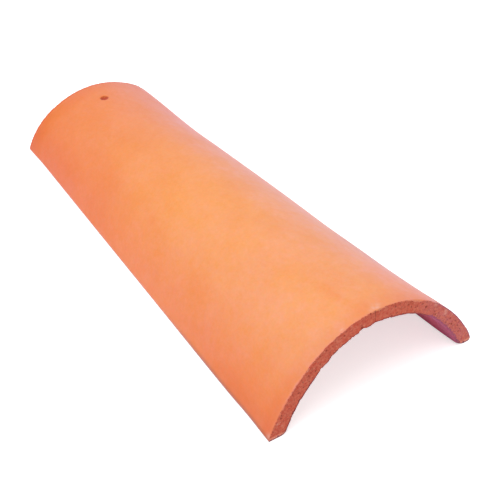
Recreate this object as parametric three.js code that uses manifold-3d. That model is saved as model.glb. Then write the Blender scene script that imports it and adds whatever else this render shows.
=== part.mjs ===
// Tapered clay barrel roof tile, in millimetres with +Z up.
// It lies on its two long edges with its crown up. The wide butt end faces -Y and the narrow head
// end, which has the nail hole, faces +Y. The origin is on the floor under the middle of the tile.
//
// The section is a three-centred arch of even thickness: one arc over the crown and a flatter arc
// down each flank. A rounded nose finishes each flank, with a narrow flat that the tile rests on.
// Width and rise shrink from butt to head, and the tile is a little sunken between its flared ends.

import * as THREE from 'three';
import { mergeVertices } from 'three/addons/utils/BufferGeometryUtils.js';
import Module from 'manifold-3d';

const { degToRad, lerp, smoothstep } = THREE.MathUtils;

// Driving dimensions.
const tileLength = 457;
const wallThickness = 12.5;

const buttWidth = 194;              // between the floor lines of the two flanks
const buttRise = 79.5;
const headWidth = 145;
const headRise = 48;

const crownAngle = degToRad(38);    // from the apex to where the crown arc meets the flank arc
const endFootAngle = degToRad(70);      // slope of the flanks at the floor, at both ends
const waistFootAngle = degToRad(65.2);  // and between them, where the shoulders are slacker

const waistSag = 3;                 // how far the crown lies below a straight line between the ends
const flareLength = 100;            // length over which each end flares out of the waist

const outerNoseRadius = 1.5;        // rounding of the long bottom edges
const innerNoseRadius = 7;
const endBevel = 0.8;               // all round both cut ends

const nailHoleDiameter = 8;
const nailHoleFromHead = 31.5;

const clayColour = 0xf39a67;

// How finely the curves are divided.
const crownSteps = 12;
const flankSteps = 8;
const noseSteps = 5;
const flareSteps = 6;
const waistSteps = 6;
const nailHoleSides = 24;

const buttEnd = -tileLength / 2;
const headEnd = tileLength / 2;

// The crown and flank arcs of the arch at a place along the tile. Their radii are the ones that
// give the arch its width and rise there while the crown arc runs smoothly into the flank arc.
function archAt(y) {
  const along = (y - buttEnd) / tileLength;
  const waist = smoothstep(Math.min(y - buttEnd, headEnd - y), 0, flareLength);
  const halfWidth = lerp(buttWidth, headWidth, along) / 2;
  const rise = lerp(buttRise, headRise, along) - waistSag * waist;
  const footAngle = lerp(endFootAngle, waistFootAngle, waist);

  const crownOut = Math.sin(crownAngle);
  const crownDown = 1 - Math.cos(crownAngle);
  const flankOut = Math.sin(footAngle) - Math.sin(crownAngle);
  const flankDown = Math.cos(crownAngle) - Math.cos(footAngle);
  const divisor = crownOut * flankDown - flankOut * crownDown;
  const crownRadius = (halfWidth * flankDown - rise * flankOut) / divisor;
  const flankRadius = (rise * crownOut - halfWidth * crownDown) / divisor;

  return {
    crown: { x: 0, z: rise - crownRadius, radius: crownRadius },
    flank: {
      x: halfWidth - flankRadius * Math.sin(footAngle),
      z: -flankRadius * Math.cos(footAngle),
      radius: flankRadius,
    },
  };
}

// An arc that stands on the floor and touches a circle at a given reach between their centres.
function noseOn(circle, radius, reach) {
  const rise = radius - circle.z;
  const out = Math.sqrt(reach ** 2 - rise ** 2);
  return { x: circle.x + out, z: radius, touch: Math.atan2(out, rise) };
}

// Points on an arc. Its angles turn from straight up towards +X.
function arcPoints(centre, radius, from, to, steps) {
  const up = Math.PI / 2;
  const arc = new THREE.ArcCurve(centre.x, centre.z, radius, up - from, up - to, to > from);
  return arc.getPoints(steps);
}

// The right half of the section, from the outer apex round the foot to the inner apex.
// The inset draws the whole outline in, as at the bevelled ends.
function halfSection(y, inset) {
  const { crown, flank } = archAt(y);
  const innerCrownRadius = crown.radius - wallThickness;
  const innerFlankRadius = flank.radius - wallThickness;
  const outerNose = noseOn(flank, outerNoseRadius, flank.radius - outerNoseRadius);
  const innerNose = noseOn(flank, innerNoseRadius, innerFlankRadius + innerNoseRadius);
  const down = Math.PI;

  return [
    arcPoints(crown, crown.radius - inset, 0, crownAngle, crownSteps),
    arcPoints(flank, flank.radius - inset, crownAngle, outerNose.touch, flankSteps).slice(1),
    arcPoints(outerNose, outerNoseRadius - inset, outerNose.touch, down, noseSteps).slice(1),
    arcPoints(innerNose, innerNoseRadius - inset, down, down + innerNose.touch, noseSteps),
    arcPoints(flank, innerFlankRadius + inset, innerNose.touch, crownAngle, flankSteps).slice(1),
    arcPoints(crown, innerCrownRadius + inset, crownAngle, 0, crownSteps).slice(1),
  ].flat();
}

// The whole section as a closed loop, clockwise as seen from the butt end.
function sectionAt(y, inset = 0) {
  const right = halfSection(y, inset);
  const left = right.slice(1, -1).reverse().map(({ x, y: z }) => new THREE.Vector2(-x, z));
  return { y, outline: [...right, ...left] };
}

// Evenly spaced values from start up to, and without, end.
function divide(start, end, steps) {
  return Array.from({ length: steps }, (_, step) => lerp(start, end, step / steps));
}

// A closed body through a row of sections that have equally many points.
function loft(sections) {
  const ring = sections[0].outline.length;
  const positions = sections.flatMap(({ y, outline }) => outline.flatMap((point) => [point.x, y, point.y]));
  const triangles = [];

  for (let section = 0; section + 1 < sections.length; section++) {
    for (let corner = 0; corner < ring; corner++) {
      const here = section * ring + corner;
      const beside = section * ring + (corner + 1) % ring;
      triangles.push(here, beside, here + ring, beside, beside + ring, here + ring);
    }
  }

  const lastRing = (sections.length - 1) * ring;
  const cap = (outline) => THREE.ShapeUtils.triangulateShape([...outline], []);
  for (const [a, b, c] of cap(sections[0].outline)) {
    triangles.push(a, b, c);
  }
  for (const [a, b, c] of cap(sections.at(-1).outline)) {
    triangles.push(lastRing + a, lastRing + c, lastRing + b);
  }

  const geometry = new THREE.BufferGeometry();
  geometry.setAttribute('position', new THREE.Float32BufferAttribute(positions, 3));
  geometry.setIndex(triangles);
  return geometry;
}

// The tile before its hole is punched.
function tileBlank() {
  const places = [
    ...divide(buttEnd + endBevel, buttEnd + flareLength, flareSteps),
    ...divide(buttEnd + flareLength, headEnd - flareLength, waistSteps),
    ...divide(headEnd - flareLength, headEnd - endBevel, flareSteps),
    headEnd - endBevel,
  ];
  return loft([
    sectionAt(buttEnd, endBevel),
    ...places.map((y) => sectionAt(y)),
    sectionAt(headEnd, endBevel),
  ]);
}

// The punch that makes the nail hole. It stands square to the sloping crown.
function nailPunch() {
  const y = headEnd - nailHoleFromHead;
  const { crown } = archAt(y);
  const slope = Math.atan((buttRise - headRise) / tileLength);
  const punch = new THREE.CylinderGeometry(
    nailHoleDiameter / 2, nailHoleDiameter / 2, wallThickness * 3, nailHoleSides);
  punch.rotateX(Math.PI / 2 - slope);
  punch.translate(0, y, crown.z + crown.radius - wallThickness / 2);
  return punch;
}

const wasm = await Module();
wasm.setup();

function toSolid(geometry) {
  geometry.deleteAttribute('normal');
  geometry.deleteAttribute('uv');
  const merged = mergeVertices(geometry);
  return new wasm.Manifold(new wasm.Mesh({
    numProp: 3,
    vertProperties: new Float32Array(merged.attributes.position.array),
    triVerts: new Uint32Array(merged.index.array),
  }));
}

function toGeometry(solid) {
  const { vertProperties, triVerts } = solid.getMesh();
  const geometry = new THREE.BufferGeometry();
  geometry.setAttribute('position', new THREE.BufferAttribute(vertProperties, 3));
  geometry.setIndex(new THREE.BufferAttribute(triVerts, 1));
  geometry.computeVertexNormals();
  return geometry;
}

const tile = new THREE.Mesh(
  toGeometry(toSolid(tileBlank()).subtract(toSolid(nailPunch()))),
  new THREE.MeshStandardMaterial({ color: clayColour, roughness: 0.85, metalness: 0 }));
tile.name = 'barrel_tile';

const group = new THREE.Group();
group.add(tile);

export default group;
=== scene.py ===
# A barrel roof tile of fired clay, lying crown up on a pale floor.

import math
import random

import bpy
import numpy as np
from mathutils import Matrix, Vector, noise


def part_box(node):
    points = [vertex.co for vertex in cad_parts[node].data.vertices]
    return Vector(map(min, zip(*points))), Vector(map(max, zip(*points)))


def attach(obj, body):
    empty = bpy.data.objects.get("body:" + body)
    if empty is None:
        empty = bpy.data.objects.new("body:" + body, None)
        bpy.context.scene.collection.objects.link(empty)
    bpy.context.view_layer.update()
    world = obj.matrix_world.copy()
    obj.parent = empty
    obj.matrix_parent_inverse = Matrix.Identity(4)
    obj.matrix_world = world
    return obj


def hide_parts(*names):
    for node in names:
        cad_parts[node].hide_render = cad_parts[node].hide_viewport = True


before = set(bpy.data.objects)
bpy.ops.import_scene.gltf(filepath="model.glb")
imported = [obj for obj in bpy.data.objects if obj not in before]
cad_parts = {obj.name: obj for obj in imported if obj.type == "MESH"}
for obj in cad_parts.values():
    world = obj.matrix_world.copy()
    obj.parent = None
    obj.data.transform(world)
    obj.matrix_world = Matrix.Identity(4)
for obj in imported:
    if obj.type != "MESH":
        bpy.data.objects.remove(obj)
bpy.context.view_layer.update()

mm = 0.001


# ------------------------------------------------------------
# The wall of the tile.
# One slab of clay, extruded flat and bent over a tapered former into a three-centred arch of even
# thickness. Each foot ends in a rounded nose with a flat that the tile stands on. The two feet
# were trimmed a little differently, and the right one is worn at the butt.

tile_low, tile_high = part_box("barrel_tile")
butt_end = tile_low[1]
head_end = tile_high[1]
tile_length = head_end - butt_end

wall = 12.5 * mm
butt_width = 194 * mm
butt_rise = 79.5 * mm
head_width = 145 * mm
head_rise = 48 * mm
crown_angle = math.radians(38)
end_foot_angle = math.radians(70)
waist_foot_angle = math.radians(65.2)
waist_sag = 3 * mm
flare_length = 100 * mm
outer_nose_radius = 1.5 * mm
outer_nose_wear = 1.1 * mm     # added at the butt's right foot
left_inner_nose_radius = 5.5 * mm
right_inner_nose_radius = 2.6 * mm
inner_nose_wear = 5 * mm
worn_length = 14 * mm


def smooth_step(value):
    value = np.clip(value, 0, 1)
    return value * value * (3 - 2 * value)


def arch_at(y):
    """Centre x, centre z and radius of the crown arc and of the right flank arc."""
    along = (y - butt_end) / tile_length
    waist = smooth_step(np.minimum(y - butt_end, head_end - y) / flare_length)
    half_width = (butt_width + (head_width - butt_width) * along) / 2
    rise = butt_rise + (head_rise - butt_rise) * along - waist_sag * waist
    foot_angle = end_foot_angle + (waist_foot_angle - end_foot_angle) * waist

    crown_out = math.sin(crown_angle)
    crown_down = 1 - math.cos(crown_angle)
    flank_out = np.sin(foot_angle) - crown_out
    flank_down = math.cos(crown_angle) - np.cos(foot_angle)
    divisor = crown_out * flank_down - flank_out * crown_down
    crown_radius = (half_width * flank_down - rise * flank_out) / divisor
    flank_radius = (rise * crown_out - half_width * crown_down) / divisor
    crown = (0, rise - crown_radius, crown_radius)
    flank = (half_width - flank_radius * np.sin(foot_angle), -flank_radius * np.cos(foot_angle), flank_radius)
    return crown, flank


def nose_on(flank, radius, reach):
    """Centre of a foot's rounding that stands on the floor, and the angle where it meets the flank."""
    rise = radius - flank[1]
    out = np.sqrt(reach ** 2 - rise ** 2)
    return flank[0] + out, np.arctan2(out, rise)


def faces_at(y, on_right):
    """The outer and the inner face from apex to floor, as arcs: x, z, radius, first and last angle."""
    crown, flank = arch_at(y)
    wear = np.where(on_right, np.exp((butt_end - y) / worn_length), 0)
    outer_nose = outer_nose_radius + outer_nose_wear * wear
    inner_nose = np.where(on_right, right_inner_nose_radius, left_inner_nose_radius) + inner_nose_wear * wear
    outer_x, outer_touch = nose_on(flank, outer_nose, flank[2] - outer_nose)
    inner_x, inner_touch = nose_on(flank, inner_nose, flank[2] - wall + inner_nose)
    outer = [
        (*crown, 0, crown_angle),
        (*flank, crown_angle, outer_touch),
        (outer_x, outer_nose, outer_nose, outer_touch, math.pi),
    ]
    inner = [
        (*crown[:2], crown[2] - wall, 0, crown_angle),
        (*flank[:2], flank[2] - wall, crown_angle, inner_touch),
        (inner_x, inner_nose, inner_nose, math.pi + inner_touch, math.pi),
    ]
    return outer, inner


def run_of(arcs):
    """The length of a row of arcs."""
    return sum(radius * abs(last - first) for _, _, radius, first, last in arcs)


def run_at(depth, y, on_right):
    """The length from apex to floor at a depth of the wall, from 0 outside to 1 inside."""
    outer, inner = faces_at(y, on_right)
    return run_of(outer) * (1 - depth) + run_of(inner) * depth


def walk(arcs, share):
    """Points x, z at shares of the way along a row of arcs. A negative share is on the left."""
    reach = np.abs(share) * run_of(arcs)
    x = z = 0
    for centre_x, centre_z, radius, first, last in arcs:
        run = radius * np.abs(last - first)
        angle = first + (last - first) * np.clip(reach / run, 0, 1)
        x = np.where(reach >= 0, centre_x + radius * np.sin(angle), x)
        z = np.where(reach >= 0, centre_z + radius * np.cos(angle), z)
        reach = reach - run
    return np.stack([np.copysign(x, share), z], axis=-1)


def wall_point(share, depth, y):
    """Points in the wall: share across from -1 to 1, depth from 0 outside to 1 inside."""
    outer, inner = faces_at(y, share > 0)
    outer_point, inner_point = walk(outer, share), walk(inner, share)
    flat = outer_point + (inner_point - outer_point) * depth[:, None]
    return np.stack([flat[:, 0], y, flat[:, 1]], axis=-1)


# ------------------------------------------------------------
# The nail hole.
# A round hole punched through the crown near the head while the clay is soft, square to the slope
# of the crown. The punch leaves a rounded lip outside and breaks the clay away a little inside.

hole_radius = 4 * mm
hole_lip = 0.7 * mm            # radius of the rounded lip
hole_breakout = 1.6 * mm       # how far the clay broke away round the hole inside
breakout_start = 0.8           # depth of the wall from which it did
hole_raggedness = 0.06         # of the radius, where the hole comes out inside
hole_tears = 2.5               # to each radian round it
hole_y = head_end - 31.5 * mm
hole_lean = math.atan((butt_rise - head_rise) / tile_length)


def hole_centre(depth):
    """Where the punch's axis is along the tile, at a depth of the wall."""
    return hole_y + (0.5 - depth) * wall * math.tan(hole_lean)


def hole_rings():
    """Radius and depth of the rings of corners down the hole, from the lip to the break-out."""
    lip_turns = [math.radians(angle) for angle in (0, 22.5, 45, 67.5, 90)]
    rings = [
        (hole_radius + hole_lip * (1 - math.sin(turn)), hole_lip * (1 - math.cos(turn)) / wall)
        for turn in lip_turns]
    rings += [(hole_radius, depth) for depth in np.linspace(0.12, breakout_start, 9)]
    for depth in (0.86, 0.93, 1.0):
        broken = (depth - breakout_start) / (1 - breakout_start)
        rings.append((hole_radius + hole_breakout * broken, depth))
    return rings


# ------------------------------------------------------------
# The surface of the clay.
# One closed sheet of faces: outside, underside, the two flats of the feet, the two cut ends and
# the bore of the hole. It is finest at the ends, where the wire that cut the slab tore the clay.

columns = 520                  # across the finest rows; each is about half a millimetre wide
coarse_step = 4                # of the finest columns to one column of the coarsest rows
layers = 26                    # through the wall
end_rows = 14                  # rows that grow from the cut end inwards
fine_rows = 8                  # of these, how many have all the columns
row_growth = 1.2
end_zone = 22.5 * mm
middle_spacing = 4 * mm
patch_half = 9 * mm            # the square of finer rows round the hole
patch_rows = 12
patch_columns = 24             # on either side of the middle, of the finest columns

growth = [(row_growth ** row - 1) / (row_growth ** end_rows - 1) * end_zone for row in range(end_rows + 1)]
patch_start = hole_y - patch_half
patch_end = head_end - end_zone
middle_rows = round((patch_start - butt_end - end_zone) / middle_spacing)
rows = [butt_end + reach for reach in growth[:-1]]
rows += list(np.linspace(butt_end + end_zone, patch_start, middle_rows, endpoint=False))
rows += list(np.linspace(patch_start, patch_end, patch_rows, endpoint=False))
rows += [head_end - reach for reach in reversed(growth)]
column_shares = np.linspace(-1, 1, columns + 1)
layer_depths = np.linspace(0, 1, layers + 1)
first_patch_row = end_rows + middle_rows
last_patch_row = first_patch_row + patch_rows
first_patch_column = columns // 2 - patch_columns
last_patch_column = columns // 2 + patch_columns

corners = {}
faces = []


def corner(share, depth, y):
    """The number of the corner there. A corner is made when it is first asked for."""
    return corners.setdefault((float(share), float(depth), float(y)), len(corners))


def stitch(near, far, turned=False):
    """Faces between two rows of corners, of which one may have twice as many as the other."""
    made = []
    if len(near) == len(far):
        made += [(near[i], near[i + 1], far[i + 1], far[i]) for i in range(len(near) - 1)]
    elif len(near) > len(far):
        for i in range(len(far) - 1):
            left, middle, right = near[2 * i:2 * i + 3]
            made += [(left, middle, far[i]), (middle, far[i + 1], far[i]), (middle, right, far[i + 1])]
    else:
        for i in range(len(near) - 1):
            left, middle, right = far[2 * i:2 * i + 3]
            made += [(near[i], middle, left), (near[i], near[i + 1], middle), (near[i + 1], right, middle)]
    faces.extend(face[::-1] if turned else face for face in made)


def column_step(row):
    """How many of the finest columns a face of that row takes up."""
    from_end = min(row, len(rows) - 1 - row)
    return 1 if from_end <= fine_rows else 2 if from_end <= end_rows - 2 else coarse_step


def spans(row):
    """The stretches of columns that have faces between that row and the next one."""
    if first_patch_row <= row < last_patch_row:
        return [(0, first_patch_column), (last_patch_column, columns)]
    return [(0, columns)]


def row_corners(row, depth, first, last):
    """A row's corners from one column to another."""
    return [corner(column_shares[c], depth, rows[row]) for c in range(first, last + 1, column_step(row))]


for depth in (0, 1):
    for row in range(len(rows) - 1):
        for first, last in spans(row):
            stitch(row_corners(row, depth, first, last), row_corners(row + 1, depth, first, last), depth == 1)

for y in (rows[0], rows[-1]):
    for depths in zip(layer_depths, layer_depths[1:]):
        upper, lower = ([corner(share, depth, y) for share in column_shares] for depth in depths)
        stitch(upper, lower, y == rows[0])

for side in (-1, 1):
    for places in zip(rows, rows[1:]):
        near, far = ([corner(side, depth, y) for depth in layer_depths] for y in places)
        stitch(near, far, side == -1)


def patch_edge(depth):
    """The corners round the square hole in the sheet, as share and place along, anticlockwise."""
    shares = column_shares[first_patch_column:last_patch_column + 1:coarse_step]
    places = rows[first_patch_row:last_patch_row + 1]
    loop = [(share, places[0]) for share in shares[:-1]] + [(shares[-1], y) for y in places[:-1]]
    loop += [(share, places[-1]) for share in shares[:0:-1]] + [(shares[0], y) for y in places[:0:-1]]
    return loop


def ring_of_corners(edge_depth, radius, depth, blend=1):
    """A ring round the punch's axis, or part of the way to it from the square's edge."""
    ring = []
    for share, y in patch_edge(edge_depth):
        edge = Vector((share * run_at(edge_depth, y, share > 0), y))
        centre = Vector((0, hole_centre(depth)))
        turn = edge - centre
        torn = noise.noise(Vector((turn.x, turn.y, depth * wall)).normalized() * hole_tears)
        point = centre + turn.normalized() * radius * (1 + hole_raggedness * torn * depth)
        point = edge.lerp(point, blend)
        ring.append(corner(point.x / run_at(depth, point.y, point.x > 0), depth, point.y))
    return ring + ring[:1]


rings = hole_rings()
sheet_blends = (0.3, 0.6, 0.85)
loops = [[corner(share, 0, y) for share, y in patch_edge(0)]]
loops[0] += loops[0][:1]
loops += [ring_of_corners(0, rings[0][0], 0, blend) for blend in sheet_blends]
loops += [ring_of_corners(0, radius, depth) for radius, depth in rings]
loops += [ring_of_corners(1, rings[-1][0], 1, blend) for blend in reversed(sheet_blends)]
loops += [[corner(share, 1, y) for share, y in patch_edge(1)]]
loops[-1] += loops[-1][:1]
for outer_loop, inner_loop in zip(loops, loops[1:]):
    stitch(outer_loop, inner_loop)

share, depth, place = np.array(list(corners)).T


# ------------------------------------------------------------
# How the clay came out of the works.
# The outside was smoothed wet, so it has only long shallow waves and faint streaks. The underside
# lay on a sanded former. The wire left the ends rough, and each foot was wiped along the floor.

wire_reach = 8 * mm            # how far from a cut end the wire disturbed the clay
wire_fade = 2.5 * mm           # over which the roughness of a cut end fades
foot_reach = 4 * mm            # how far up from the floor the wiping shows
foot_round = 0.12 * mm         # rounding between a foot and a cut end
lip_length = 7 * mm


def lumps(points, size, seed):
    """Smooth random values from about -1 to 1, in lumps of a size, or of sizes along x, y and z."""
    shift = Vector((seed * 3.7, seed * 5.1, seed * 7.9))
    return np.array([noise.noise(Vector(point) + shift) for point in points / np.array(size)])


def outer_relief_at(points):
    waves = 0.07 * mm * (1.7 + lumps(points, (45 * mm, 150 * mm, 45 * mm), 1))
    streaks = 0.02 * mm * (1 + lumps(points, (3 * mm, 160 * mm, 3 * mm), 2))
    return waves + streaks


def inner_relief_at(points):
    hollows = 0.16 * mm * lumps(points, (28 * mm, 80 * mm, 28 * mm), 3)
    drags = 0.07 * mm * lumps(points, (4 * mm, 50 * mm, 4 * mm), 4)
    return hollows + drags


def end_relief_at(points):
    sweep = 0.10 * mm * (1 + lumps(points, 16 * mm, 5))
    tears = 0.09 * mm * (1 + lumps(points, 3.2 * mm, 6))
    grains = 0.06 * mm * (1 + lumps(points, 1.3 * mm, 7))
    return sweep + tears + grains


def foot_relief_at(points):
    hollows = 0.06 * mm * np.maximum(lumps(points, 25 * mm, 8), 0)
    grains = 0.02 * mm * (1 + lumps(points, 1.6 * mm, 9))
    return hollows + grains


def round_off(from_end, from_face, radius):
    """Two distances from an arris, drawn in so that the arris is rounded to a radius."""
    end_short = np.minimum(from_end - radius, 0)
    face_short = np.minimum(from_face - radius, 0)
    pull = radius / np.maximum(np.hypot(end_short, face_short), 1e-9)
    return np.maximum(from_end, radius) + end_short * pull, np.maximum(from_face, radius) + face_short * pull


outside = wall_point(share, np.zeros_like(depth), place)
inside = wall_point(share, np.ones_like(depth), place)
thickness = np.linalg.norm(inside - outside, axis=1)
from_end = np.minimum(place - butt_end, head_end - place)
end_y = np.where(place < 0, butt_end, head_end)
inward = np.where(place < 0, 1, -1)
wired = from_end < wire_reach
at_end = wall_point(share[wired], depth[wired], end_y[wired])

# The wire dragged a low lip of clay inwards at both ends. At the butt: millimetres from the apex
# along the inner arris, negative to the left, and the lip's height.
butt_lip = [
    (-101, 2.0), (-98, 1.4), (-94, 1.2), (-90, 1.4), (-86, 1.0), (-83, 1.0), (-80, 1.3), (-64, 1.3),
    (-59, 0.9), (-55, 0.5), (-52, 0.6), (-47, 1.3), (-43, 0.2), (-33, 0.2), (-29, 0.4), (-24, 0.2),
    (-20, 0.1), (-16, 0.3), (-9, 0.6), (-6, 0.4), (-3, -0.4), (0, -0.5), (3, 0.0), (6, 0.5), (10, 0.3),
    (14, 0.9), (27, 0.5), (38, -0.2), (44, -0.3),
]
inner_from_apex = share * run_at(1, place, share > 0) / mm
butt_lip_height = mm * (np.interp(inner_from_apex, *zip(*butt_lip)) + 0.15 * lumps(inside, 4 * mm, 15))
head_lip_height = 0.5 * mm * (1 + lumps(inside, 9 * mm, 15))
lip = np.where(place < 0, butt_lip_height, head_lip_height) * np.exp(-from_end / lip_length)

# Near the butt the right flank bulges a little, most of all just above its foot.
foot_bulge = 0.95 * mm
foot_bulge_height = 11 * mm
flank_bulge = 0.42 * mm
flank_bulge_height = 10 * mm
bulge_length = 60 * mm
bulge = foot_bulge * np.exp(-(outside[:, 2] / foot_bulge_height - 1) ** 2)
bulge = np.maximum(bulge, flank_bulge * smooth_step(outside[:, 2] / flank_bulge_height))
bulge *= smooth_step((share - 0.3) / 0.2) * np.exp((butt_end - place) / bulge_length)

# The outside of both flanks wanders a little: millimetres along from the middle, and out.
left_sway = [
    (-216, 0.0), (-198, -0.45), (-174, 0.35), (-148, 0.5), (-98, 0.35), (-48, 0.15), (100, 0.0), (176, -0.25),
    (200, -0.4), (212, 0.0), (228, 0.6),
]
right_sway = [
    (-220, 0.0), (-196, -0.65), (-172, -0.35), (-130, 0.25), (-100, -0.1), (-76, -0.5), (-40, -0.1), (0, 0.2),
    (48, 0.05), (96, -0.2), (124, -0.65), (152, -0.45), (176, 0.0), (200, 0.55), (224, 0.95),
]


def eased_sway(flank_sway):
    """How far out a flank wanders at every corner, with the turns of its list eased."""
    return mm * np.mean([np.interp(place / mm + ease, *zip(*flank_sway)) for ease in (-8, 0, 8)], axis=0)


sway = np.where(share < 0, eased_sway(left_sway), eased_sway(right_sway))
sway *= smooth_step((np.abs(share) - 0.35) / 0.25)

outer_relief = outer_relief_at(outside) - bulge - sway
inner_relief = inner_relief_at(inside) - lip
span = thickness - outer_relief - inner_relief

# The arrises of the cut ends are rounded: the radius outside, and the larger one inside, which
# grows on the right.
right_side = smooth_step((share[wired] - 0.35) / 0.15)
outer_round = mm * np.interp(share[wired], (-0.75, -0.5, -0.1, 0.1, 0.6), (0.2, 0.15, 0.15, 0.3, 0.35))
outer_round = np.maximum(outer_round + 0.15 * mm * lumps(at_end, 6 * mm, 10), 0.1 * mm)
inner_round = 0.3 * mm + 0.2 * mm * lumps(at_end, 5 * mm, 11) + 0.25 * mm * lumps(at_end, 1.8 * mm, 12)
inner_round = np.maximum(inner_round + 1.8 * mm * right_side, 0.15 * mm)
from_outer = depth * span
cut_in = from_end.copy()
cut_in[wired] += end_relief_at(at_end) * np.exp(-from_end[wired] / wire_fade)
cut_in[wired], from_outer[wired] = round_off(cut_in[wired], from_outer[wired], outer_round)
cut_in[wired], from_inner = round_off(cut_in[wired], span[wired] - from_outer[wired], inner_round)
from_outer[wired] = span[wired] - from_inner

points = wall_point(share, (outer_relief + from_outer) / thickness, end_y + inward * cut_in)
at_foot = wired & (points[:, 2] < foot_reach)
cut_in[at_foot], points[at_foot, 2] = round_off(cut_in[at_foot], points[at_foot, 2], foot_round)
points[:, 1] = end_y + inward * cut_in
low = points[:, 2] < foot_reach
points[low, 2] += foot_relief_at(points[low]) * (1 - points[low, 2] / foot_reach) ** 2


# ------------------------------------------------------------
# Pores and torn arrises.
# Sand and air pockets in the clay open as pores where the wire cuts them. The wire also pulls bits
# out of the arrises, most of all the inner one, and the fired tile has been knocked a few times.

# Each is a scoop: a ball, centred a little outside the clay, that the surface is pressed out onto.
mesh_end = {-1: wired & (place < 0), 1: wired & (place > 0)}
unevenness = np.zeros_like(share)   # as a share of a scoop's radius
unevenness[wired] = 0.22 * lumps(at_end, 1.3 * mm, 13)
pored = np.zeros_like(share)        # how deep in a pore, from 0 to 1
chipped = np.zeros_like(share)      # how much clay is gone there, in metres


def end_place(end, across, down):
    """A point of a cut end, the way down through the wall there and the way out of the end."""
    y = butt_end if end < 0 else head_end
    outer_point, inner_point = (wall_point(*np.array([[across], [face], [y]]))[0] for face in (0, 1))
    through = (inner_point - outer_point) / np.linalg.norm(inner_point - outer_point)
    return outer_point + through * down, through, np.array([0, end, 0])


def scoop(end, centre, radius):
    """Presses the corners of an end out of a ball and returns which moved, and how far."""
    near = np.flatnonzero(mesh_end[end])
    arm = points[near] - centre
    distance = np.linalg.norm(arm, axis=1)
    reach = radius * (1 + unevenness[near])
    caught = distance < reach
    points[near[caught]] = centre + arm[caught] / distance[caught, None] * reach[caught, None]
    return near[caught], (reach - distance)[caught]


def pore(end, across, down, radius, deep=0.8):
    """A pore in a cut end. Deep is how much of the ball's radius is in the clay."""
    spot, _, out = end_place(end, across, down)
    moved, by = scoop(end, spot + out * radius * (1 - deep), radius)
    pored[moved] = np.maximum(pored[moved], np.minimum(by / (radius * deep), 1))


def chip(end, across, inner, bite, radius):
    """A bit gone from the outer or the inner arris of a cut end, so deep at the corner."""
    spot, through, out = end_place(end, across, wall if inner else 0)
    away = out + through if inner else out - through
    moved, by = scoop(end, spot + away / math.sqrt(2) * (radius - bite), radius)
    chipped[moved] = np.maximum(chipped[moved], by)


def butt_share(reach, depth):
    """The share across at so many millimetres from the apex along the butt's outer or inner arris."""
    return float(reach * mm / run_at(depth, butt_end, reach > 0))


# Each pore's place from the apex and down from the outside, and its radius, in millimetres.
butt_pores = [
    (-112.0, 3.4, 0.9), (-109.5, 2.6, 0.8), (-88.5, 7.5, 1.0), (-82.5, 8.2, 0.8), (-76.5, 10.3, 0.8),
    (-72.8, 5.8, 1.1), (-66.4, 8.7, 0.9), (-59.8, 8.1, 0.8), (-55.4, 1.9, 1.1), (-49.0, 3.0, 0.9),
    (-45.5, 11.3, 0.9), (-43.0, 11.5, 0.8), (-36.0, 11.5, 0.8), (-15.0, 9.4, 1.4), (7.5, 11.9, 0.8),
    (15.0, 12.0, 0.9), (28.5, 12.0, 0.8), (-31.5, 4.6, 0.9), (17.6, 3.8, 1.0), (24.6, 7.8, 0.9),
    (21.3, 10.1, 1.0), (31.4, 4.3, 1.1), (35.4, 6.5, 0.8), (53.0, 5.2, 1.2), (66.5, 6.5, 0.9),
    (69.5, 8.4, 0.9), (76.7, 7.8, 0.9), (84.5, 6.0, 0.8), (89.5, 9.0, 0.8), (90.5, 4.6, 0.9),
    (97.7, 7.2, 0.9), (112.5, 6.5, 0.8), (-6.2, 0.9, 1.0),
]
for reach, down, radius in butt_pores:
    pore(-1, butt_share(reach, 0), down * mm, radius * mm)

# Each tear's place along the inner arris from the apex, its bite and its radius, in millimetres.
butt_tears = [
    (-82.6, 1.0, 1.8), (-68.1, 0.35, 1.4), (-54.3, 0.5, 2.2), (-41.5, 0.4, 2.4), (-34.9, 0.45, 2.0),
    (-31.0, 0.3, 1.2), (-22.3, 0.45, 1.5), (-19.2, 0.45, 1.2), (-13.6, 1.9, 2.4), (-11.7, 1.6, 2.6),
    (-3.1, 0.5, 1.8), (0.0, 0.45, 1.8), (7.2, 0.7, 1.3), (29.4, 0.3, 2.0),
]
for reach, bite, radius in butt_tears:
    chip(-1, butt_share(reach, 1), True, bite * mm, radius * mm)

# The same for the knocks on the outer arris.
butt_knocks = [(-70.1, 0.7, 1.3), (-67, 0.5, 1.0), (-63.9, 0.6, 1.2), (-6.2, 0.6, 1.2), (-2.6, 0.6, 1.6)]
for reach, bite, radius in butt_knocks:
    chip(-1, butt_share(reach, 0), False, bite * mm, radius * mm)

# Smaller ones all along both ends.
dice = random.Random(1897)
pores_each_end = 110
tears_each_end = 80
knocks_each_end = 14
for end in (-1, 1):
    for _ in range(pores_each_end):
        across, down = dice.uniform(-0.97, 0.97), dice.uniform(1.2, 10.8) * mm
        pore(end, across, down, dice.triangular(0.3, 0.9, 0.4) * mm)
    for _ in range(tears_each_end):
        bite = dice.triangular(0.15, 0.5, 0.2) * mm
        chip(end, dice.uniform(-0.94, 0.94), True, bite, bite * dice.uniform(1.5, 3.5))
    for _ in range(knocks_each_end):
        bite = dice.triangular(0.2, 0.6, 0.3) * mm
        chip(end, dice.uniform(-0.94, 0.94), False, bite, bite * dice.uniform(2, 4))

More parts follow.
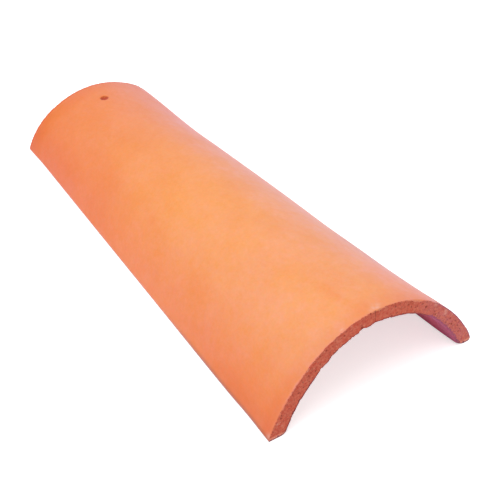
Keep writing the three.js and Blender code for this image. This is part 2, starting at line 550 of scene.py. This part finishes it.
# A crack runs through the wall beside the apex of the butt.
crack_from_apex = -1.6 * mm
crack_half_width = 0.3 * mm
crack_depth = 0.35 * mm
crack_shade = 0.8           # of a pore's painted shade
on_butt = mesh_end[-1] & (from_end == 0)
crack_wander = 0.5 * mm * lumps(np.outer(depth[on_butt] * wall, (0, 1, 0)), 2.5 * mm, 14)
off_crack = np.abs(share[on_butt] * run_at(0, butt_end, False) - crack_from_apex - crack_wander)
crack = np.clip(1.5 - off_crack / crack_half_width, 0, 1)  # with soft sides
points[on_butt, 1] += crack_depth * crack
pored[on_butt] = np.maximum(pored[on_butt], crack * crack_shade)


# ------------------------------------------------------------
# Where each finish of the tile lies.
# The wet-smoothed skin gives way to bare clay along the arrises and in knocks, and down the hole to a bright
# red that is painted light. It fired unevenly, and bits of lime, ash and slip stuck to the butt.

edge_reach = 4 * mm
left_skin = 1.3 * mm           # of skin left on a cut end, up from the floor
bore_fade = 5 * mm            # depth over which the bore of the hole turns from skin to a bright red that is painted light
shallowest_knock = 0.12 * mm   # that breaks through the skin
knock_spread = 3               # how far past the skin a knock's floor counts, in depths of the knock

# How far each corner is from where the skin, or the sanded underside, gives way to cut clay. It is
# above 0 in the cut clay. The skin wraps round the outer arris as far as that is rounded, and so
# does the sanded side round the inner arris on the right, but on the left the cut clay does.
edge = np.full_like(share, -edge_reach)
to_face = np.minimum(depth, 1 - depth)[wired] * span[wired]
wrap = np.where(depth[wired] < 0.5, -outer_round, inner_round * (1 - 2 * right_side))
edge[wired] = np.where(from_end[wired] == 0, to_face, -from_end[wired]) + wrap

# The wire dragged the skin over the butt's outer arris: millimetres from the apex, and how far.
skin_drag = [
    (-116, 0.5), (-105, 0.7), (-100, 0.5), (-93, 0.3), (-89, 0.7), (-84, 0.2), (-79, 0.0), (-76, 0.3),
    (-71.5, 0.3), (-69.5, 1.6), (-67, 0.2), (-64, -0.5), (-58, -0.4), (-55.5, 0.2), (-52, -0.2),
    (-36, -0.15), (-8, -0.2), (-4, 0.1), (-1, 1.2), (0.5, 0.6), (2, 1.4), (4, 0.6), (8, 0.8), (11, -0.2),
    (28, -0.1), (31, 0.4), (33.5, 0.2), (36.5, 1.7), (39, 1.6), (42.5, 2.1), (44.5, 1.2), (47, 0.0),
    (49, 0.5), (51, -0.1), (56, -0.1), (58, 0.4), (62, -0.1),
]
butt_from_apex = share * run_at(0, butt_end, share > 0) / mm
edge -= mm * np.interp(butt_from_apex, *zip(*skin_drag)) * ((place < 0) & (depth < 0.5))
edge = np.where(chipped > shallowest_knock, np.maximum(edge, knock_spread * chipped), edge)
edge = np.clip(np.minimum(edge, points[:, 2] - left_skin), -edge_reach, edge_reach)
in_hole = (depth > 0) & (depth < 1) & ~wired & (np.abs(share) < 1)
bore = np.where(in_hole, smooth_step(depth * wall / bore_fade), 0)

# Where the skin fired deeper (above 0) or bloomed paler (below 0): millimetres from the apex and
# along from the middle, half the patch's width and length, and strength.
skin_patches = [
    (-12, -190, 5, 13, 0.8), (-8, -215, 7, 10, 0.4), (-40, -222, 17, 12, -1.0), (-75, -86, 10, 24, 0.5),
    (-62, -46, 12, 13, -0.4), (-60, 9, 5, 6, 0.8), (-64, 24, 7, 8, -0.4), (-60, 92, 15, 22, 0.5),
    (-87, 137, 5, 14, -0.6), (-28, 214, 20, 11, 0.6), (-115, -180, 26, 55, 1.0), (25, -226, 38, 12, 0.35),
    (70, -215, 45, 50, 0.35), (45, 160, 35, 70, -0.6), (-100, -20, 28, 60, -0.55), (18, 215, 12, 16, -0.6),
    (20, 100, 22, 30, -0.4), (-122, -226, 16, 14, 0.5), (45, 165, 25, 30, -0.55), (-50, 122, 16, 35, 0.45),
    (13, 0, 14, 22, -0.4), (-48, -222, 11, 9, -0.75), (-84, -222, 14, 9, 0.2), (-10, -223, 8, 8, 0.3),
]


def patch_at(reach, onward, patch):
    """A soft oval patch at two places and of two half sizes in millimetres, and of a strength."""
    centre_reach, centre_onward, half_width, half_length, strength = patch
    off = np.hypot((reach - centre_reach) / half_width, (onward - centre_onward) / half_length)
    return strength * np.exp(-off ** 2)


from_apex = share * run_at(0, place, share > 0) / mm
fired = sum(patch_at(from_apex, place / mm, patch) for patch in skin_patches) * (depth < 0.5)

# Bits of lime and ash in the butt's face: millimetres from the apex and down from the outside,
# half the bit's length and width, and strength.
lime_bits = [
    (78.5, 2.2, 1.2, 1.5, 0.5), (80.5, 4.0, 1.5, 1.3, 0.5), (63.0, 1.6, 2.0, 1.6, 0.35),
    (98.0, 10.6, 0.7, 0.5, 0.5), (-117.5, 2.3, 0.9, 0.6, 0.5), (-119.5, 6.6, 0.9, 0.6, 0.4),
    (-116.0, 4.2, 0.5, 0.5, 0.4),
]
# Slip on the skin beside the crack: the same, but for the distance in from the end.
slip_bits = [
    (-4.0, 2.6, 2.2, 2.2, 0.3), (-1.0, 3.6, 1.8, 2.6, 0.55), (1.5, 2.4, 2.2, 1.8, 0.6),
    (4.0, 5.0, 2.2, 2.2, 0.35), (1.0, 7.0, 1.2, 2.6, 0.25), (-128.5, 1.4, 2.4, 2.6, 0.4),
    (-30.5, 2.6, 1.6, 0.8, 0.5),
]
lime_on_face = np.max([patch_at(from_apex, depth * wall / mm, bit) for bit in lime_bits], axis=0)
slip_on_skin = np.max([patch_at(from_apex, from_end / mm, bit) for bit in slip_bits], axis=0)
lime = np.maximum(lime_on_face * on_butt, slip_on_skin * ((place < 0) & (depth == 0)))

# What the clay's materials are told at each corner.
corner_facts = {
    "edge_mm": edge / mm, "depth": depth, "pore": pored, "across": share,
    "fired": fired, "lime": lime, "bore": bore,
}


# ------------------------------------------------------------
# The fired clay.
# One iron-rich body under three finishes: the smoothed orange skin outside, the redder, gritty clay where the
# wire cut it, and the sanded underside, darker and purplish, its purple painted in as the cool cast of its
# shade.


def feed(tree, node, inputs):
    """Gives each of a node's inputs its value, or the output that feeds it."""
    for name, value in inputs.items():
        if isinstance(value, bpy.types.NodeSocket):
            tree.links.new(value, node.inputs[name])
        else:
            node.inputs[name].default_value = value


def add_node(tree, kind, inputs=None, **settings):
    node = tree.nodes.new(kind)
    for setting, value in settings.items():
        setattr(node, setting, value)
    feed(tree, node, inputs or {})
    return node


def calculate(tree, operation, *values, clamp=False):
    node = add_node(tree, "ShaderNodeMath", dict(enumerate(values)), operation=operation, use_clamp=clamp)
    return node.outputs[0]


def ramp(tree, value, start, end, low=0.0, high=1.0):
    """A value eased from low to high as it goes from start to end."""
    node = add_node(tree, "ShaderNodeMapRange", {
        "Value": value, "From Min": start, "From Max": end, "To Min": low, "To Max": high,
    }, interpolation_type="SMOOTHSTEP")
    return node.outputs[0]


def blend_colours(tree, mask, first, second, how="MIX"):
    first, second = ((*colour, 1) if isinstance(colour, tuple) else colour for colour in (first, second))
    inputs = {0: mask, 6: first, 7: second}
    return add_node(tree, "ShaderNodeMix", inputs, data_type="RGBA", blend_type=how).outputs[2]


def blend_values(tree, mask, first, second):
    return add_node(tree, "ShaderNodeMix", {0: mask, 2: first, 3: second}, data_type="FLOAT").outputs[0]


def new_effect(name, inputs, outputs):
    """An empty node group with numbers as inputs, each with its usual value, and its two ends."""
    group = bpy.data.node_groups.new(name, "ShaderNodeTree")
    for label, usual in inputs.items():
        socket = group.interface.new_socket(label, in_out="INPUT", socket_type="NodeSocketFloat")
        socket.default_value = usual
    for label in outputs:
        group.interface.new_socket(label, in_out="OUTPUT", socket_type="NodeSocketFloat")
    start = group.nodes.new("NodeGroupInput").outputs
    end = group.nodes.new("NodeGroupOutput").inputs
    return group, start, end


def clay_place(tree):
    """Where a point of the clay is, in millimetres."""
    metres = add_node(tree, "ShaderNodeTexCoord").outputs["Object"]
    return add_node(tree, "ShaderNodeVectorMath", {0: metres, "Scale": 1 / mm}, operation="SCALE").outputs[0]


def make_clouds():
    """Soft patches where the clay fired lighter or darker, stretched along the tile if asked."""
    usual = {"Size": 20.0, "Stretch": 1.0, "Detail": 2.0, "Seed": 0.0}
    group, start, end = new_effect("clay_clouds", usual, ["Mask"])
    thin = calculate(group, "DIVIDE", 1.0, start["Stretch"])
    along = add_node(group, "ShaderNodeCombineXYZ", {"X": 1.0, "Y": thin, "Z": 1.0}).outputs[0]
    place = add_node(group, "ShaderNodeVectorMath", {0: clay_place(group), 1: along}, operation="MULTIPLY")
    scale = calculate(group, "DIVIDE", 1.0, start["Size"])
    cloud = add_node(group, "ShaderNodeTexNoise", {
        "Vector": place.outputs[0], "W": start["Seed"], "Scale": scale,
        "Detail": start["Detail"], "Roughness": 0.55,
    }, noise_dimensions="4D")
    group.links.new(ramp(group, cloud.outputs[0], 0.3, 0.7), end["Mask"])
    return group


def make_grit():
    """Sand and grog in the clay: the height of the grains, and a mask of single dark or pale ones."""
    group, start, end = new_effect("clay_grit", {"Size": 0.6, "Share": 0.1}, ["Height", "Grains"])
    place = clay_place(group)
    scale = calculate(group, "DIVIDE", 1.0, start["Size"])
    rough = add_node(group, "ShaderNodeTexNoise", {
        "Vector": place, "Scale": scale, "Detail": 3.0, "Roughness": 0.6,
    }).outputs[0]
    grain = add_node(group, "ShaderNodeTexVoronoi", {"Vector": place, "Scale": scale}).outputs
    pick = add_node(group, "ShaderNodeSeparateColor", {"Color": grain["Color"]}).outputs[0]
    chosen = calculate(group, "LESS_THAN", pick, start["Share"])
    body = ramp(group, grain["Distance"], 0.45, 0.25)
    group.links.new(rough, end["Height"])
    group.links.new(calculate(group, "MULTIPLY", chosen, body), end["Grains"])
    return group


def make_pinholes():
    """Small holes left by air and burnt-out specks: how deep a point is in one, from 0 to 1."""
    usual = {"Spacing": 2.0, "Share": 0.3, "Width": 0.25, "Seed": 0.0}
    group, start, end = new_effect("clay_pinholes", usual, ["Depth"])
    scale = calculate(group, "DIVIDE", 1.0, start["Spacing"])
    cell = add_node(group, "ShaderNodeTexVoronoi", {
        "Vector": clay_place(group), "W": start["Seed"], "Scale": scale,
    }, voronoi_dimensions="4D").outputs
    parts = add_node(group, "ShaderNodeSeparateColor", {"Color": cell["Color"]}).outputs
    chosen = calculate(group, "LESS_THAN", parts[0], start["Share"])
    width = calculate(group, "MULTIPLY", start["Width"], calculate(group, "ADD", parts[1], 0.5))
    from_middle = calculate(group, "DIVIDE", cell["Distance"], width)
    depth = calculate(group, "SUBTRACT", 1.0, from_middle, clamp=True)
    group.links.new(calculate(group, "MULTIPLY", chosen, depth), end["Depth"])
    return group


clouds_effect = make_clouds()
grit_effect = make_grit()
pinholes_effect = make_pinholes()


def place_effect(tree, effect, **values):
    """The outputs of an effect that is placed in a material with its own values."""
    inputs = {name.capitalize(): value for name, value in values.items()}
    return add_node(tree, "ShaderNodeGroup", inputs, node_tree=effect).outputs


def clouds(tree, **values):
    """A mask of soft patches."""
    return place_effect(tree, clouds_effect, **values)["Mask"]


def zone(tree, *limits, most=1.0):
    """A mask that is full where every value in the limits has gone from its start to its end."""
    mask = most
    for value, start, end in limits:
        mask = calculate(tree, "MULTIPLY", mask, ramp(tree, value, start, end))
    return mask


def stain(tree, colour, tone, *limits):
    """A colour multiplied by a tone in a zone."""
    return blend_colours(tree, zone(tree, *limits), colour, tone, "MULTIPLY")


def cover(tree, colour, tone, *limits, most=1.0):
    """A colour that gives way to a tone in a zone."""
    return blend_colours(tree, zone(tree, *limits, most=most), colour, tone)


def fleck(tree, colour, tone, mask, most):
    """A colour that gives way to a tone as a mask says, so much at the most."""
    return blend_colours(tree, calculate(tree, "MULTIPLY", mask, most), colour, tone)


def mottle(tree, colour, mask, low, high):
    """A colour multiplied by a tone that goes from low to high with a mask."""
    return blend_colours(tree, 1.0, colour, blend_colours(tree, mask, low, high), "MULTIPLY")


def pile_up(tree, *heights):
    """A height in millimetres: masks, and how high each of them stands where it is 1."""
    total = 0.0
    for mask, full in heights:
        total = calculate(tree, "MULTIPLY_ADD", mask, full, total)
    return total


def smoothed_skin(tree, facts):
    """Colour, roughness and height of the wet-smoothed outside."""
    butt_orange = (0.88, 0.328, 0.118)
    middle_orange = (0.895, 0.322, 0.083)
    head_coral = (0.86, 0.228, 0.066)
    right_sheen_pink = (0.885, 0.345, 0.165)
    butt_sheen_pink = (0.885, 0.30, 0.148)
    arris_plum = (0.50, 0.14, 0.20)
    rim_coral = (0.88, 0.22, 0.12)
    bore_lit_red = (0.93, 0.225, 0.15)
    pinhole_shade_brown = (0.42, 0.1, 0.05)
    # The tones multiply the colour under them.
    flank_tone = (0.985, 0.72, 0.66)
    end_tone = (0.96, 0.86, 0.85)
    deeper_tone = (0.985, 0.86, 0.60)
    paler_tone = (1.0, 1.06, 1.40)
    arris_lighting_tone = (1.0, 0.94, 1.25)
    left_arris_highlight_tone = (1.02, 1.12, 1.56)
    head_arris_tone = (0.92, 0.72, 0.50)
    head_corner_tone = (0.99, 1.0, 0.68)
    head_left_tone = (1.0, 0.95, 0.38)
    right_butt_tone = (0.88, 0.90, 1.02)
    low_left_tone = (0.95, 0.87, 0.72)
    foot_shade_tone = (0.64, 0.66, 0.82)
    along, height, across, edge = (facts[name] for name in ("along", "height", "across", "edge_mm"))
    from_crown = calculate(tree, "ABSOLUTE", across)
    from_middle = calculate(tree, "ABSOLUTE", along)

    colour = cover(tree, butt_orange, middle_orange, (along, -150.0, 30.0))
    # Painted sheen: the right flank is painted pinker, fading back to orange past its middle, for the pale
    # haze the skin shows there at a low angle.
    sheen_pink = cover(tree, right_sheen_pink, butt_sheen_pink, (along, -120.0, -215.0))
    colour = cover(tree, colour, sheen_pink, (across, 0.0, 0.45), (across, 0.9, 0.55))
    colour = cover(tree, colour, head_coral, (along, -60.0, 290.0))
    colour = stain(tree, colour, flank_tone, (from_crown, 0.3, 1.0))
    colour = stain(tree, colour, end_tone, (from_middle, 205.0, 228.0))
    for sign, tone in ((1.0, deeper_tone), (-1.0, paler_tone)):
        fired = calculate(tree, "MULTIPLY", facts["fired"], sign, clamp=True)
        colour = blend_colours(tree, fired, colour, tone, "MULTIPLY")

    firing = clouds(tree, size=34.0, stretch=1.5, detail=3.0, seed=1.0)
    bloom = clouds(tree, size=26.0, stretch=1.2, detail=1.5, seed=11.0)
    small = clouds(tree, size=7.0, stretch=1.1, detail=3.0, seed=2.0)
    ash = clouds(tree, size=4.5, stretch=1.1, detail=4.0, seed=12.0)
    grain = clouds(tree, size=1.7, stretch=1.2, detail=2.0, seed=9.0)
    blush = clouds(tree, size=2.0, stretch=1.2, detail=2.0, seed=13.0)
    for mask, low, high in (
        (firing, (1.01, 1.04, 1.10), (0.985, 0.96, 0.90)),
        (bloom, (1.0, 1.01, 1.13), (1.0, 0.99, 0.86)),
        (small, (1.0, 1.015, 1.08), (1.0, 0.985, 0.92)),
        (ash, (1.0, 1.0, 1.14), (1.0, 1.0, 0.86)),
        (grain, (1.0, 1.035, 1.09), (1.0, 0.965, 0.91)),
        (blush, (1.02, 1.0, 1.0), (0.98, 1.0, 1.0)),
    ):
        colour = mottle(tree, colour, mask, low, high)

    # Painted highlight: the skin is paler and cooler just before the outer arris, wider and more so on the
    # left, where the rounded arris catches the light.
    colour = stain(tree, colour, arris_lighting_tone, (edge, -1.8, -0.5))
    colour = stain(tree, colour, left_arris_highlight_tone, (edge, -3.0, -1.2), (across, -0.5, -0.62))
    colour = stain(tree, colour, head_arris_tone, (edge, -3.2, -1.2), (along, 150.0, 160.0))
    colour = stain(tree, colour, head_corner_tone, (along, 160.0, 225.0), (across, -0.2, -0.8))
    colour = stain(tree, colour, head_left_tone, (along, 198.0, 220.0), (across, -0.15, -0.5))
    colour = stain(tree, colour, right_butt_tone, (along, -60.0, -150.0), (across, 0.42, 0.56))
    colour = cover(tree, colour, arris_plum, (edge, -1.6, -0.4), (across, 0.4, 0.55))
    colour = cover(tree, colour, rim_coral, (height, 2.6, 0.6), most=0.6)
    low_left = ((height, 18.0, 7.0), (along, -100.0, -180.0), (across, -0.4, -0.6))
    colour = stain(tree, colour, low_left_tone, *low_left)
    # Painted shade: the skin darkens in the last few millimetres above the floor, along both feet towards the
    # butt.
    colour = stain(tree, colour, foot_shade_tone, (height, 6.0, 1.2), (along, -40.0, -150.0))
    # Painted light: the bore of the hole is a bright red, brighter than the cut clay, so that it looks lit
    # down its depth.
    colour = blend_colours(tree, facts["bore"], colour, bore_lit_red)

    streaks = clouds(tree, size=2.2, stretch=30.0, detail=2.0, seed=3.0)
    grit = place_effect(tree, grit_effect, size=0.7, share=0.03)["Height"]
    pinholes = place_effect(tree, pinholes_effect, spacing=9.0, share=0.25, width=0.05, seed=1.0)["Depth"]
    # Painted shade: the skin's pinholes darken with how deep a point lies in them.
    colour = fleck(tree, colour, pinhole_shade_brown, pinholes, 0.5)
    relief = pile_up(tree, (streaks, 0.02), (grit, 0.05), (small, 0.05), (pinholes, -0.2))
    return colour, ramp(tree, small, 0.0, 1.0, 0.58, 0.68), relief


def sanded_underside(tree, facts):
    """Colour, roughness and height of the inside, which lay on a sanded former."""
    shade_cast_plum = (0.86, 0.133, 0.27)
    rust = (0.66, 0.16, 0.105)
    sand_dark = (0.24, 0.03, 0.06)
    ash_pale = (0.72, 0.34, 0.28)
    butt_tone = (0.76, 0.88, 0.98)
    arris_lighting_tone = (0.60, 0.58, 0.62)
    low_tone = (0.81, 0.77, 0.83)
    foot_shade_tone = (0.78, 0.65, 0.80)
    height = facts["height"]
    broad = clouds(tree, size=30.0, stretch=2.0, detail=3.0, seed=6.0)
    patches = clouds(tree, size=5.0, stretch=1.5, detail=4.0, seed=15.0)
    drags = clouds(tree, size=2.5, stretch=18.0, detail=3.0, seed=7.0)
    sand = place_effect(tree, grit_effect, size=0.8, share=0.16)
    dark_sand = place_effect(tree, grit_effect, size=1.3, share=0.22)

    # Painted shade: the purple of the plum colour is the cool cast of the shade under the arch; it covers
    # most of the right side.
    colour = blend_colours(tree, broad, rust, shade_cast_plum)
    colour = cover(tree, colour, shade_cast_plum, (facts["right"], 30.0, 55.0), most=0.9)
    colour = stain(tree, colour, butt_tone, (facts["along"], -205.0, -219.0))
    # Painted shade: the underside darkens within a few millimetres of the inner arris at each end.
    colour = stain(tree, colour, arris_lighting_tone, (facts["edge_mm"], -4.0, -1.0))
    colour = mottle(tree, colour, patches, (1.06, 0.88, 0.92), (0.94, 1.12, 1.08))
    colour = stain(tree, colour, low_tone, (height, 14.0, 5.0))
    # Painted shade: the underside darkens in the last few millimetres above the floor.
    colour = stain(tree, colour, foot_shade_tone, (height, 4.0, 1.0))
    colour = fleck(tree, colour, ash_pale, drags, 0.2)
    colour = fleck(tree, colour, sand_dark, dark_sand["Grains"], 0.35)
    colour = fleck(tree, colour, ash_pale, sand["Grains"], 0.5)
    relief = pile_up(tree, (drags, 0.10), (sand["Height"], 0.16))
    return colour, ramp(tree, drags, 0.0, 1.0, 0.82, 0.94), relief


def cut_clay(tree, facts):
    """Colour, roughness and height of the body where the wire or a knock laid it open."""
    brick = (0.635, 0.096, 0.049)
    brick_dark = (0.46, 0.044, 0.020)
    brick_pale = (0.76, 0.205, 0.122)
    brick_pink = (0.62, 0.156, 0.168)
    inner_arris_shade_plum = (0.28, 0.036, 0.045)
    outer_plum = (0.34, 0.08, 0.20)
    foot_pale = (0.92, 0.33, 0.22)
    sand_pale = (0.85, 0.40, 0.28)
    iron_dark_and_hole_shade = (0.22, 0.022, 0.014)
    below_arris_tone = (0.96, 0.91, 0.88)
    across, edge, depth = (facts[name] for name in ("across", "edge_mm", "depth"))
    broad = clouds(tree, size=22.0, detail=2.0, seed=5.0)
    coarse = clouds(tree, size=5.5, detail=3.0, seed=10.0)
    patches = clouds(tree, size=3.0, detail=5.0, seed=14.0)
    small = clouds(tree, size=2.2, detail=3.0, seed=4.0)
    pale = place_effect(tree, grit_effect, size=1.0, share=0.10)
    dark = place_effect(tree, grit_effect, size=0.9, share=0.18)
    holes = place_effect(tree, pinholes_effect, spacing=2.2, share=0.45, width=0.30, seed=2.0)["Depth"]

    pinkness = ramp(tree, broad, 0.0, 1.0, 0.7, 1.0)
    colour = cover(tree, brick, brick_pink, (facts["right"], 30.0, 65.0), most=pinkness)
    colour = fleck(tree, colour, brick_dark, coarse, 0.45)
    colour = fleck(tree, colour, brick_pale, small, 0.7)
    colour = mottle(tree, colour, patches, (0.99, 0.86, 0.83), (1.01, 1.14, 1.17))
    # Darker in a band one to three millimetres below the outer arris, except on the right.
    colour = stain(tree, colour, below_arris_tone, (edge, 0.3, 1.2), (edge, 3.2, 1.8), (across, 0.45, 0.3))
    outer_rim = ((edge, 0.9, 0.1), (across, 0.4, 0.55), (depth, 0.5, 0.4))
    colour = cover(tree, colour, outer_plum, *outer_rim, most=0.8)
    colour = cover(tree, colour, foot_pale, (facts["height"], 4.0, 2.2), most=0.9)
    # Painted shade: a dark plum band along the inner arris of each cut end.
    colour = cover(tree, colour, inner_arris_shade_plum, (depth, 0.86, 0.96), most=0.85)
    colour = fleck(tree, colour, sand_pale, pale["Grains"], 0.5)
    colour = fleck(tree, colour, iron_dark_and_hole_shade, dark["Grains"], 0.6)
    # Painted shade: the cut clay's pinholes darken with their depth, in the colour of its dark iron grains.
    colour = fleck(tree, colour, iron_dark_and_hole_shade, holes, 0.8)
    relief = pile_up(tree, (pale["Height"], 0.22), (small, 0.25), (dark["Height"], 0.14), (holes, -0.5))
    return colour, ramp(tree, small, 0.0, 1.0, 0.8, 0.92), relief


def fired_clay(name, haze):
    """The clay with all three finishes. Haze is how much it pales when seen at a low angle."""
    pore_shade_dark = (0.20, 0.022, 0.014)
    foot_contact_shadow = (0.22, 0.035, 0.05)
    lime_pink = (0.84, 0.47, 0.38)
    material = bpy.data.materials.new(name)
    material.use_nodes = True
    tree = material.node_tree
    shader = tree.nodes["Principled BSDF"]

    place = add_node(tree, "ShaderNodeSeparateXYZ", {"Vector": clay_place(tree)}).outputs
    facts = {"right": place["X"], "along": place["Y"], "height": place["Z"]}
    for fact in corner_facts:
        facts[fact] = add_node(tree, "ShaderNodeAttribute", attribute_name=fact).outputs["Fac"]

    under = ramp(tree, facts["depth"], 0.45, 0.55)
    raggedness = ramp(tree, under, 0.0, 1.0, 1.0, 2.4)
    stray = calculate(tree, "SUBTRACT", clouds(tree, size=1.3, detail=3.0, seed=8.0), 0.5)
    ragged_edge = calculate(tree, "MULTIPLY_ADD", stray, raggedness, facts["edge_mm"])
    cut = ramp(tree, ragged_edge, -0.12, 0.12)

    colour, roughness, relief = smoothed_skin(tree, facts)
    for mask, finish in ((under, sanded_underside), (cut, cut_clay)):
        its_colour, its_roughness, its_relief = finish(tree, facts)
        colour = blend_colours(tree, mask, colour, its_colour)
        roughness = blend_values(tree, mask, roughness, its_roughness)
        relief = blend_values(tree, mask, relief, its_relief)
    # Painted shade: pores and the crack darken with how deep a point lies in them.
    colour = fleck(tree, colour, pore_shade_dark, facts["pore"], 0.75)
    # Painted shadow: a thin dark line along the bottom of both feet where they stand on the floor, taller
    # towards the butt.
    foot_shadow_line = zone(tree, (facts["height"], 1.1, 0.3), most=0.8)
    butt_foot_shadow_line = zone(tree, (facts["height"], 1.5, 0.6), (facts["along"], -150.0, -228.0), most=0.85)
    colour = blend_colours(tree, calculate(tree, "MAXIMUM", foot_shadow_line, butt_foot_shadow_line), colour, foot_contact_shadow)
    colour = blend_colours(tree, facts["lime"], colour, lime_pink)

    bump = add_node(tree, "ShaderNodeBump", {"Strength": 1.0, "Distance": mm, "Height": relief}).outputs[0]
    feed(tree, shader, {
        "Base Color": colour, "Roughness": roughness, "Normal": bump, "IOR": 1.45,
        "Sheen Weight": haze, "Sheen Roughness": 0.45, "Sheen Tint": (0.8, 0.7, 1.0, 1),
    })
    return material


tile_mesh = bpy.data.meshes.new("roof_tile")
tile_mesh.from_pydata(points.tolist(), [], faces)
tile_mesh.shade_smooth()
for name, values in corner_facts.items():
    tile_mesh.attributes.new(name, "FLOAT", "POINT").data.foreach_set("value", values.astype(np.float32))

skin_haze = 0.4
tile_mesh.materials.append(fired_clay("smoothed_clay", skin_haze))
tile_mesh.materials.append(fired_clay("bare_clay", 0.0))
bare = (edge > 0) | (depth > 0.5)
first_corners = [face[0] for face in faces]
tile_mesh.polygons.foreach_set("material_index", bare[first_corners].astype(np.int32))


def add_object(name, data):
    made = bpy.data.objects.new(name, data)
    bpy.context.scene.collection.objects.link(made)
    return made


tile = add_object("roof_tile", tile_mesh)
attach(tile, "root")
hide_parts("barrel_tile")


# ------------------------------------------------------------
# The stand.
# A plain white floor that keeps the tile's shadow, a pale sky with one large soft lamp over the
# tile, and the camera, which looks down at the butt from its left.

floor_half = 4.0
floor_mesh = bpy.data.meshes.new("floor")
floor_corners = [(x * floor_half, y * floor_half, 0) for x, y in ((-1, -1), (1, -1), (1, 1), (-1, 1))]
floor_mesh.from_pydata(floor_corners, [], [(0, 1, 2, 3)])
floor = add_object("floor", floor_mesh)


def seen_directly(tree):
    """1 for what the camera sees, straight or in a gloss or through glass, and 0 for other light."""
    path = add_node(tree, "ShaderNodeLightPath").outputs
    seen = calculate(tree, "MAXIMUM", path["Is Camera Ray"], path["Is Glossy Ray"])
    return calculate(tree, "MAXIMUM", seen, path["Is Transmission Ray"])


floor_lift = 0.6               # of white added to what the camera sees of the floor
white_floor = bpy.data.materials.new("white_floor")
white_floor.use_nodes = True
tree = white_floor.node_tree
feed(tree, tree.nodes["Principled BSDF"], {
    "Base Color": (0.85, 0.85, 0.85, 1), "Roughness": 0.9, "Specular IOR Level": 0.0,
    "Emission Color": (1, 1, 1, 1),
    "Emission Strength": calculate(tree, "MULTIPLY", seen_directly(tree), floor_lift),
})
floor_mesh.materials.append(white_floor)

sky_light = 0.69               # of white, as a light; the camera sees it plain white
studio = bpy.data.worlds.new("studio")
bpy.context.scene.world = studio
studio.use_nodes = True
tree = studio.node_tree
feed(tree, tree.nodes["Background"], {
    "Color": (1, 1, 1, 1),
    "Strength": calculate(tree, "MULTIPLY_ADD", seen_directly(tree), 1 - sky_light, sky_light),
})

softbox_light = bpy.data.lights.new("softbox", "AREA")
softbox_light.shape = "DISK"
softbox_light.size = 1.4
softbox_light.energy = 13.6
softbox = add_object("softbox", softbox_light)
softbox.location = (-0.4, -0.25, 1.7)
softbox.rotation_euler = softbox.location.to_track_quat("Z", "Y").to_euler()

camera_azimuth = math.radians(-32.127)
camera_elevation = math.radians(38.034)
camera_roll = math.radians(-1.935)
camera_distance = 1051.9 * mm
camera_target = Vector((18.2, -30.0, -1.2)) * mm
focal_pixels = 1200
frame_pixels = 500

back = Vector((
    math.sin(camera_azimuth) * math.cos(camera_elevation),
    -math.cos(camera_azimuth) * math.cos(camera_elevation),
    math.sin(camera_elevation)))
level = Vector((math.cos(camera_azimuth), math.sin(camera_azimuth), 0))
upright = back.cross(level)
right = level * math.cos(camera_roll) + upright * math.sin(camera_roll)
up = upright * math.cos(camera_roll) - level * math.sin(camera_roll)
camera_data = bpy.data.cameras.new("camera")
camera_data.lens = focal_pixels / frame_pixels * camera_data.sensor_width
camera = add_object("camera", camera_data)
camera_turn = Matrix((right, up, back)).transposed().to_4x4()
camera.matrix_world = Matrix.Translation(camera_target + back * camera_distance) @ camera_turn
bpy.context.scene.camera = camera

bpy.context.scene.view_settings.view_transform = "Standard"
